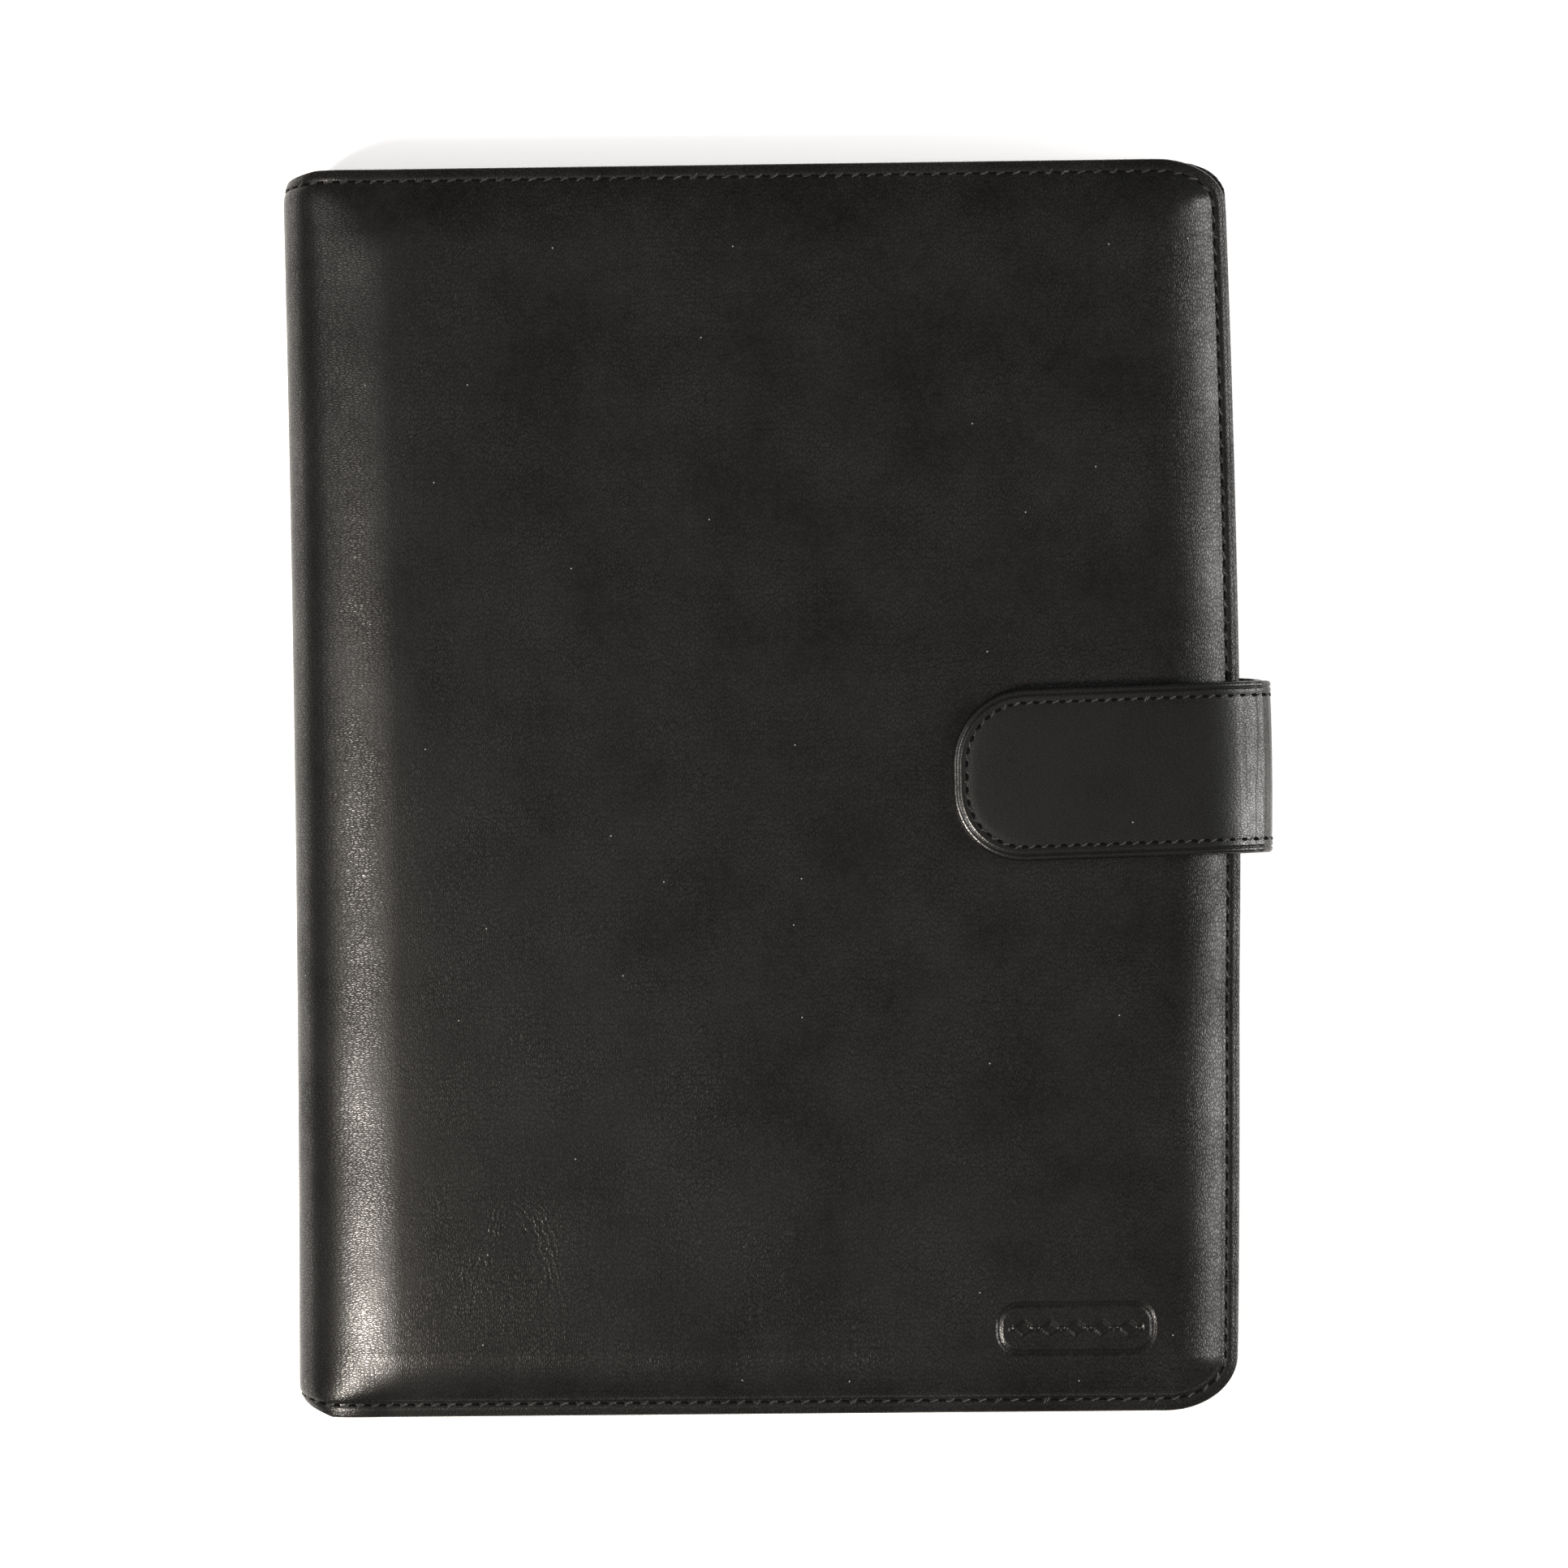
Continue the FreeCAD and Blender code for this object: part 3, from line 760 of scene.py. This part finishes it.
for label, side, seed in (("front", 1, 3.7), ("back", -1, 11.3)):
    panel = dress(book_panel(label + "_padded_leather", side, seed), "outer_leather")
    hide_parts(label + "_outer_leather", label + "_foam")
    if side > 0:
        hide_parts("spine_outer_leather", "spine_foam")
    roll_blend(panel, side)

    inner = dress(lining_panel(label + "_lining_sheet", side), "lining_leather")
    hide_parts(label + "_lining")
    if side > 0:
        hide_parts("spine_lining")
    roll_blend(inner, side)

    seam = sew(label + "_hem_stitches", [hem_path(STITCH_INSET, side)], hem_surface(side), **HEM_THREAD)
    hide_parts(label + "_stitching")
    if side > 0:
        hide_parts("spine_stitching")
    roll_blend(seam, side)


# ---------------------------------------------------------------- strap

tab_low, tab_high = corners("strap_tab_leather")
anchor_low, anchor_high = corners("strap_anchor")

STRAP_W = tab_high[1] - tab_low[1]
STRAP_Y = (tab_high[1] + tab_low[1]) / 2
STRAP_OUT = corners("strap_side_leather")[1][0]
STRAP_T = 2.6
TAB_TOP = tab_high[2]
TIP_X = tab_low[0]
TIP_R = 13.4
FOLD_R = 5.5
FOOT_R = 4.4
FOOT_Z = anchor_low[2]
FOOT_T = anchor_high[2] - anchor_low[2]
ANCHOR_X = anchor_low[0]
TILT = math.tan(math.radians(1.3))
SIDE_SPLIT = 14.0       # height at which the strap's lower and upper pieces meet
FOOT_SLIP = 1.5         # the strap is sewn on this far towards the head

FOLD_X = STRAP_OUT - FOLD_R
TAB_MIDDLE = (FOLD_X + TIP_X) / 2

STRAP_SHIFT = 1.5       # the real strap is a little long: its fold stands off the book's edge
TIP_SHIFT = 0.3
TIP_DROP = 0.38         # the tip is pulled down this much, mostly in its last TIP_BEND
TIP_BEND = 7.0
FOLD_SIZE = (14.0, 6.2)     # the soft fold's width and height


def path_section(points):
    """Turns a line of (x, z) points into a section, its length and its place along at a given x.

    A section gives x and z from the place along the line and the depth below its outer face."""
    points = np.array(points)
    run = np.concatenate([[0], np.cumsum(np.hypot(*np.diff(points, axis=0).T))])
    slope = np.gradient(points, run, axis=0)
    slope /= np.hypot(slope[:, 0], slope[:, 1])[:, None]
    normal = np.stack([-slope[:, 1], slope[:, 0]], -1)

    def section(along, depth):
        along = np.clip(along, 0, run[-1])
        x, z, nx, nz = (np.interp(along, run, v) for v in (*points.T, *normal.T))
        return x - nx * depth, z - nz * depth
    return section, run[-1], lambda x: float(np.interp(x, points[:, 0], run))


def upper_path():
    """Outer face of the strap from its tip, over the fold and down the side."""
    out = STRAP_OUT + STRAP_SHIFT
    start, end = TIP_X + TIP_SHIFT, out - FOLD_SIZE[0]
    flat = [(x, TAB_TOP - TIP_DROP * math.exp(-(x - start) / TIP_BEND)) for x in np.linspace(start, end, 160)]
    turns = np.linspace(0, math.pi / 2, 60)[1:]
    fold = [(end + FOLD_SIZE[0] * math.sin(t), TAB_TOP - FOLD_SIZE[1] * (1 - math.cos(t))) for t in turns]
    side = [(out, z) for z in np.linspace(TAB_TOP - FOLD_SIZE[1], SIDE_SPLIT, 30)[1:]]
    return flat + fold + side


strap_upper, UPPER_LENGTH, upper_at = path_section(upper_path())
# Creases over the fold: distance in from its outside, depth and half width
FOLD_CREASES = [(upper_at(STRAP_OUT + STRAP_SHIFT - back), deep, wide)
                for back, deep, wide in ((2.7, 0.2, 0.5), (5.4, 0.05, 0.6), (1.0, 0.08, 0.4))]

FOOT_ARC = math.pi / 2 * FOOT_R
FOOT_RUN = STRAP_OUT - FOOT_R - ANCHOR_X
LOWER_LENGTH = FOOT_RUN + FOOT_ARC + SIDE_SPLIT - FOOT_Z - FOOT_R


def strap_lower(along, depth):
    """Strap's section from its sewn end, round the lower bend and up the side."""
    along = np.asarray(along, float)
    turn = np.clip(along - FOOT_RUN, 0, FOOT_ARC) / FOOT_R
    up = np.maximum(along - FOOT_RUN - FOOT_ARC, 0)
    x = ANCHOR_X + np.minimum(along, FOOT_RUN) + FOOT_R * np.sin(turn) - depth * np.sin(turn)
    x = x + STRAP_SHIFT * np.clip(along / (FOOT_RUN + FOOT_ARC), 0, 1)
    z = FOOT_Z + FOOT_R * (1 - np.cos(turn)) + depth * np.cos(turn) + up
    return x, z


# The strap's edge: distance in and depth, over its painted edge, the crease beside it and the seam
STRAP_EDGE = (
    (0.0, 0.75), (0.12, 0.38), (0.35, 0.12), (0.7, 0.06), (0.98, 0.06), (1.08, 0.26), (1.2, 0.26),
    (1.32, 0.05), (1.7, 0.02), (2.2, 0.1), (2.45, 0.17), (2.75, 0.17), (3.2, 0.12), (3.9, 0.06),
)
STRAP_INSETS = [p[0] for p in STRAP_EDGE] + [4.6, 5.8, 7.4, 9.8, 12.6]
STRAP_STITCH = 2.6
STRAP_PUFF = 0.14       # the strap swells this much from the seam inwards, over PUFF_WIDTH
PUFF_WIDTH = 4.5


def strap_profile(inset):
    """Depth of the strap's outer face below its level."""
    xs, ys = zip(*STRAP_EDGE)
    puff = STRAP_PUFF * (1 - np.exp(-np.maximum(inset - xs[-1], 0) / PUFF_WIDTH))
    return np.interp(inset, xs, ys) - puff


def strap_rows(length, tip):
    """Grid lines along the strap, close-set at its tip."""
    if not tip:
        return np.linspace(0, length, int(length / 0.9) + 1)
    inner = np.linspace(STRAP_INSETS[-1] + 1.2, length, int((length - STRAP_INSETS[-1]) / 0.45))
    return np.concatenate([STRAP_INSETS, inner])


def strap_piece(name, section, length, tip, thickness, slip):
    """Flat strap bent along its section. tip gives it the rounded end, slip a sideways drift along it."""
    rows_at = strap_rows(length, tip)
    half = STRAP_W / 2
    low = -half + np.array(STRAP_INSETS)
    cols_at = np.concatenate([low, [-1.2, 1.2], -low[::-1]])
    s, t = np.meshgrid(rows_at, cols_at, indexing="ij")
    inset = half - np.abs(t)
    if tip:
        inset = np.minimum(inset, s)
        u, v = TIP_R - s, np.abs(t) - (half - TIP_R)
        corner = (u > 0) & (v > 0) & (inset < TIP_R - 0.4)
        radius = np.maximum(TIP_R - inset, 1e-6)
        endwise = s <= half - np.abs(t)
        turn = np.where(endwise, math.pi / 4 * v / radius, math.pi / 2 - math.pi / 4 * u / radius)
        s = np.where(corner, TIP_R - radius * np.cos(turn), s)
        t = np.where(corner, np.sign(t) * (half - TIP_R + radius * np.sin(turn)), t)
    rows, cols = s.shape
    face = strap_profile(inset)
    swell = slow_noise(s / 17, t / 14, 5.0 + len(name))
    face = face - 0.12 * swell * np.clip((inset - 2.8) / 5, 0, 1)
    if tip:
        for at, deep, wide in FOLD_CREASES:
            wander = 0.35 * np.sin(t / 5.0 + at)
            face = face + deep * np.exp(-((s - at - wander) / wide) ** 2)
    under = thickness(s) - 0.25 * np.exp(-inset / 0.4)

    def points(depth, ss=s, tt=t):
        x, z = section(ss, depth)
        y = STRAP_Y + tt + (x - TAB_MIDDLE) * TILT + slip(ss)
        return np.stack([x, y, z], -1).reshape(-1, 3)

    top, bottom = points(face), points(under)
    ring = perimeter(rows, cols)
    ring_s, ring_t = s.ravel()[ring], t.ravel()[ring]
    ring_top, ring_low = face.ravel()[ring], under.ravel()[ring]
    rings = [points(ring_top + k * (ring_low - ring_top), ring_s, ring_t) for k in (0.3, 0.7)]
    flat_top = np.stack([s + 400, t, np.zeros_like(s)], -1).reshape(-1, 3)
    return slab(name, top, bottom, rings, flat_top, flat_top + np.array([0, 0, 4.0]), rows, cols, True)


def lower_thickness(s):
    return FOOT_T + (STRAP_T - FOOT_T) * np.clip((s - FOOT_RUN - 2) / 8.0, 0, 1)


def lower_slip(s):
    return FOOT_SLIP * (1 - np.clip(s / LOWER_LENGTH, 0, 1))


upper = strap_piece("strap_upper", strap_upper, UPPER_LENGTH, True, lambda s: STRAP_T, lambda s: 0)
lower = strap_piece("strap_lower", strap_lower, LOWER_LENGTH, False, lower_thickness, lower_slip)
dress(upper, "strap_leather")
dress(lower, "strap_leather")
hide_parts("strap_tab_leather", "strap_tab_lining", "strap_side_lining")
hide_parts("strap_side_leather", "strap_anchor")


def tab_surface(s, t, lift):
    """Point over the seam's groove on the strap's upper piece."""
    x, z = strap_upper(np.array(s), float(strap_profile(STRAP_STITCH)) - lift)
    return np.array([float(x), float(STRAP_Y + t + (x - TAB_MIDDLE) * TILT), float(z)])


def tip_path():
    """Seam round the strap's free end, from one edge to the other."""
    side = STRAP_W / 2 - STRAP_STITCH
    radius = TIP_R - STRAP_STITCH
    far = UPPER_LENGTH - 0.5
    down = [(s, -side) for s in np.linspace(far, TIP_R, 60)]
    turns = np.linspace(0, math.pi / 2, 16)[1:]
    first = [(TIP_R - radius * math.sin(t), -(side - radius) - radius * math.cos(t)) for t in turns]
    second = [(s, -t) for s, t in first[::-1]]
    up = [(s, -t) for s, t in down[::-1]]
    return np.array(down + first + second + up)


tip_seam = sew("strap_tip_stitches", [tip_path()], tab_surface, pitch=2.4, length=1.2, width=0.14, lean=0.4)
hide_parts("strap_tab_stitching", "strap_side_stitching")

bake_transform(upper)
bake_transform(tip_seam)
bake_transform(lower)

# ---------------------------------------------------------------- pockets inside the covers

RIM_INSET = 1.0         # a pocket's edge lies this far in from the cover's edge
RIM_WIDTH = 3.5
MOUTH_HEM = 9.0         # width of the turned edge at a pocket's mouth
MOUTH_SEAM = 2.4
EDGE_STEPS = [0.0, 0.08, 0.25, 0.55, 0.95, 1.3, 1.6, 2.1, 2.7, 3.4, 3.6, 4.6, 6.5, 9.0, 12.0]
MOUTH_STEPS = [0.0, 0.08, 0.25, 0.6, 1.1, 1.7, 2.1, 2.4, 2.7, 3.3, 5.0, 7.5, 8.4, 8.8, 9.2, 9.7, 11.0]

POCKET_THREAD = dict(pitch=2.95, length=1.6, width=0.16, lean=0.3)

sleeve_low, sleeve_high = corners("pad_sleeve")
slip_low, slip_high = corners("slip_pocket")


def slack(along, y, seed):
    """Slow waves of a thin leather sheet that is held only at its edges, from -1 to 1."""
    return slow_noise(along / 30, y / 45, seed)


def groove(away):
    """How far a seam presses the leather in, at a distance from it."""
    return np.exp(-(away / 0.35) ** 2)


def pocket_sheet(name, side, mouth, face, sheet_back, rim_back, seed, passage=None):
    """Full-height pocket inside a cover, open towards the spine.

    face, sheet_back and rim_back are depths below the cover's outside: the pocket's own face, its back
    over the pocket, and its back where it is sewn down. passage is the part of the rim left open, in Y."""
    far = WIDTH - RIM_INSET
    edge = np.array(EDGE_STEPS)
    first = mouth + np.array(MOUTH_STEPS)
    inner = np.linspace(first[-1], far - edge[-1], int((far - edge[-1] - first[-1]) / 4) + 1)[1:-1]
    lines_a = np.concatenate([first, inner, far - edge[::-1]])
    low = RIM_INSET - HALF + edge
    lines_y = np.concatenate([low, np.linspace(low[-1], -low[-1], 56)[1:-1], -low[::-1]])
    if passage:
        extra = [v + gap for v in passage for gap in (-0.05, 0.05)]
        lines_y = np.sort(np.concatenate([lines_y, extra]))
    grid_a, grid_y = np.meshgrid(lines_a, lines_y, indexing="ij")
    along, y, inset = round_corner(grid_a, grid_y, side)
    open_by = along - mouth
    rim = inset - RIM_INSET
    inner_share = smooth(open_by, MOUTH_HEM - 0.6, MOUTH_HEM + 0.3) * smooth(rim, 2.4, 4.0)
    drop = 0.3 * np.exp(-rim / 0.3) + 0.28 * np.exp(-np.maximum(open_by, 0) / 0.3)
    drop += 0.12 * groove(inset - STITCH_INSET) + 0.1 * groove(open_by - MOUTH_SEAM)
    drop += inner_share * (0.15 + 0.09 * slack(along, y, seed))
    sewn = rim < RIM_WIDTH
    if passage:
        sewn &= ~((y > passage[0]) & (y < passage[1]) & (WIDTH - along < 2 * RIM_WIDTH))
    back = np.where(sewn, rim_back, sheet_back)
    middle = 0.5 * (face - drop) + 0.5 * back
    return book_slab(name, along, y, face - drop, back, [middle], side, 60.0 + seed, 4.0, side > 0, 0.05)


def inner_surface(side, depth):
    """Surface for sewing on a pocket inside a cover."""
    def surface(along, y, lift):
        return place(along, y, depth + lift, side).reshape(3)
    return surface


def three_sides(side, mouth):
    """Seam of a pocket along its tail, fore-edge and head."""
    path = hem_path(STITCH_INSET, side)
    return path[path[:, 0] > mouth + MOUTH_SEAM]


STRAP_WAY = (STRAP_Y - STRAP_W / 2 - 2.0, STRAP_Y + STRAP_W / 2 + 2.0)
sleeve_mouth = WIDTH - (FORE - sleeve_low[0])
sleeve = pocket_sheet("back_sleeve_leather", -1, sleeve_mouth, sleeve_high[2], sleeve_high[2] - 0.72,
                      LINING_DEPTH + 0.03, 2.0, passage=STRAP_WAY)
dress(sleeve, "pocket_leather")
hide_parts("pad_sleeve")
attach(sleeve, "back_cover")
sleeve_seam = sew("sleeve_edge_stitches", [three_sides(-1, sleeve_mouth)],
                  inner_surface(-1, sleeve_high[2] - 0.12), **POCKET_THREAD)
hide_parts("sleeve_stitching")
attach(sleeve_seam, "back_cover")

slip_mouth = WIDTH - (FORE - slip_low[0])
slip_face = THICK - slip_low[2]
slip = pocket_sheet("front_slip_pocket_leather", 1, slip_mouth, slip_face, slip_face - 0.5,
                    THICK - slip_high[2] + 0.02, 5.0)
dress(slip, "pocket_leather")
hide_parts("slip_pocket")
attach(slip, "front_cover")
mouth_run = np.array([(slip_mouth + MOUTH_SEAM, v) for v in np.linspace(-HALF + 3.4, HALF - 3.4, 90)])
slip_seam = sew("slip_pocket_stitches", [three_sides(1, slip_mouth), mouth_run],
                inner_surface(1, slip_face - 0.1), **POCKET_THREAD)
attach(slip_seam, "front_cover")

CARD_CORNER = 3.0
CARD_SEAM = 2.0
CARD_HEM = 6.0
CARD_STEPS = [0.0, 0.08, 0.25, 0.55, 1.0, 1.5, 2.0, 2.5, 3.2, 4.5]


def card_pocket(name, node, seed, closed):
    """Small pocket with turned edges and soft corners, open towards the head."""
    low, high = corners(node)
    centre, half = (low + high)[:2] / 2, (high - low)[:2] / 2
    edge = np.array(CARD_STEPS)
    lines = []
    for axis in (0, 1):
        near = edge - half[axis]
        inner = np.linspace(near[-1], -near[-1], int(2 * -near[-1] / 3.5))[1:-1]
        lines.append(np.concatenate([near, inner, -near[::-1]]))
    hem_at = half[1] - CARD_HEM
    lines[1] = np.sort(np.concatenate([lines[1], hem_at + np.array([-0.8, -0.25, 0.0, 0.35])]))
    u, v = np.meshgrid(*lines, indexing="ij")
    from_edge = np.minimum(half[0] - np.abs(u), half[1] - np.abs(v))
    a = np.abs(u) - (half[0] - CARD_CORNER)
    b = np.abs(v) - (half[1] - CARD_CORNER)
    cornered = (a > 0) & (b > 0)
    reach = np.maximum(np.maximum(a, b), 1e-9)
    bend = np.arctan2(np.maximum(b, 0), np.maximum(a, 1e-9))
    x = np.where(cornered, np.sign(u) * (half[0] - CARD_CORNER + reach * np.cos(bend)), u)
    y = np.where(cornered, np.sign(v) * (half[1] - CARD_CORNER + reach * np.sin(bend)), v)
    sink = 0.22 * np.exp(-from_edge / 0.25)
    side_seam = np.minimum(half[0] - np.abs(u), half[1] + v)
    sink += 0.1 * groove(side_seam - CARD_SEAM) + 0.1 * groove(half[1] - v - CARD_SEAM)
    sink += 0.14 * smooth(hem_at - v, -0.3, 0.5) * smooth(side_seam, 3.0, 4.4)
    sink += 0.05 * smooth(side_seam, 3.0, 8.0) * (1 + slack(u, v, seed))
    face = np.stack([centre[0] + x, centre[1] + y, low[2] + sink], -1).reshape(-1, 3)
    back = face.copy()
    back[:, 2] = high[2] - 0.02
    rows, cols = u.shape
    ring = perimeter(rows, cols)
    middle = 0.5 * face[ring] + 0.5 * back[ring]
    flat = np.stack([x, y, np.full(x.shape, 90.0 + seed)], -1).reshape(-1, 3)
    flat_back = flat + np.array([0, 0, 4.0])
    piece = slab(name + "_leather", face, back, [middle], flat, flat_back, rows, cols, True)
    dress(piece, "pocket_leather")
    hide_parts(node)
    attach(piece, "front_cover")

    def surface(u, v, lift):
        return np.array([centre[0] + u, centre[1] + v, low[2] + 0.1 - lift])

    wide, top = half[0] - CARD_SEAM, half[1] - CARD_SEAM
    runs = [np.array([(u, top) for u in np.linspace(-wide, wide, 40)])]
    if closed:
        foot = -half[1] + CARD_SEAM
        left = [(-wide, v) for v in np.linspace(top - 1.5, foot, 50)]
        below = [(u, foot) for u in np.linspace(-wide, wide, 50)[1:]]
        runs.append(np.array(left + below + [(-u, v) for u, v in left[::-1][1:]]))
    else:
        for edge_u in (-wide, wide):
            runs.append(np.array([(edge_u, v) for v in np.linspace(top - 1.5, top - 11.0, 12)]))
    seam = sew(name + "_stitches", runs, surface, pitch=2.6, length=1.4, width=0.14, lean=0.3)
    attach(seam, "front_cover")


for index, closed in ((1, False), (2, False), (3, True)):
    card_pocket("front_card_pocket_%d" % index, "card_pocket_%d" % index, 1.7 * index, closed)

# ---------------------------------------------------------------- CAD pieces that keep their own shape

for node, material in (
    ("back_board", "board"), ("front_board", "board"), ("pad_backing_board", "board"),
    ("pad_pages", "paper"), ("pad_binding", "cloth"), ("snap_socket", "metal"), ("snap_stud", "metal"),
    ("strap_tab_core", "stiffener"),
):
    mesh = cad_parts[node].data
    mesh.materials.clear()
    mesh.materials.append(MATERIALS[material])

# ---------------------------------------------------------------- floor, light and camera

bpy.ops.mesh.primitive_plane_add(size=6.0, location=(0, 0, -0.0002))
floor = bpy.context.object
floor.name = "floor"
floor.data.materials.append(MATERIALS["floor"])

VIEW_WIDTH = 288.83 * MM     # seen width at the height of the cover's face
CAMERA_AT = (1.05 * MM, 0.67 * MM)
CAMERA_HEIGHT = 0.9
FACE_HEIGHT = 0.021
SENSOR = 36
ROLL = -0.78        # degrees


def softbox(name, location, size, power, colour):
    """Rectangular lamp aimed at the middle of the object's underside."""
    data = bpy.data.lights.new(name, "AREA")
    data.shape = "RECTANGLE"
    data.size, data.size_y = size
    data.energy = power
    data.color = colour
    light = bpy.data.objects.new(name, data)
    light.location = location
    bpy.context.scene.collection.objects.link(light)
    light.rotation_euler = (-light.location).to_track_quat("-Z", "Y").to_euler()


softbox("key", (-0.73, -0.46, 1.09), (0.26, 0.3), 30.0, (1.0, 0.92, 0.83))
softbox("strip", (-0.82, 0.1, 1.0), (0.3, 0.8), 2.0, (1.0, 0.95, 0.9))
softbox("fill", (1.12, 0.13, 0.66), (1.0, 1.0), 22, (1.0, 0.985, 0.965))

world = bpy.data.worlds.new("studio")
world.use_nodes = True
sky = world.node_tree.nodes["Background"].inputs
sky["Color"].default_value = (0.95, 0.97, 1.0, 1)
sky["Strength"].default_value = 0.12
bpy.context.scene.world = world
bpy.context.scene.view_settings.view_transform = "Standard"

camera_data = bpy.data.cameras.new("camera")
camera_data.sensor_width = SENSOR
camera_data.lens = SENSOR * (CAMERA_HEIGHT - FACE_HEIGHT) / VIEW_WIDTH
camera = bpy.data.objects.new("camera", camera_data)
camera.location = (*CAMERA_AT, CAMERA_HEIGHT)
camera.rotation_euler = (0, 0, math.radians(ROLL))
bpy.context.scene.collection.objects.link(camera)
bpy.context.scene.camera = camera
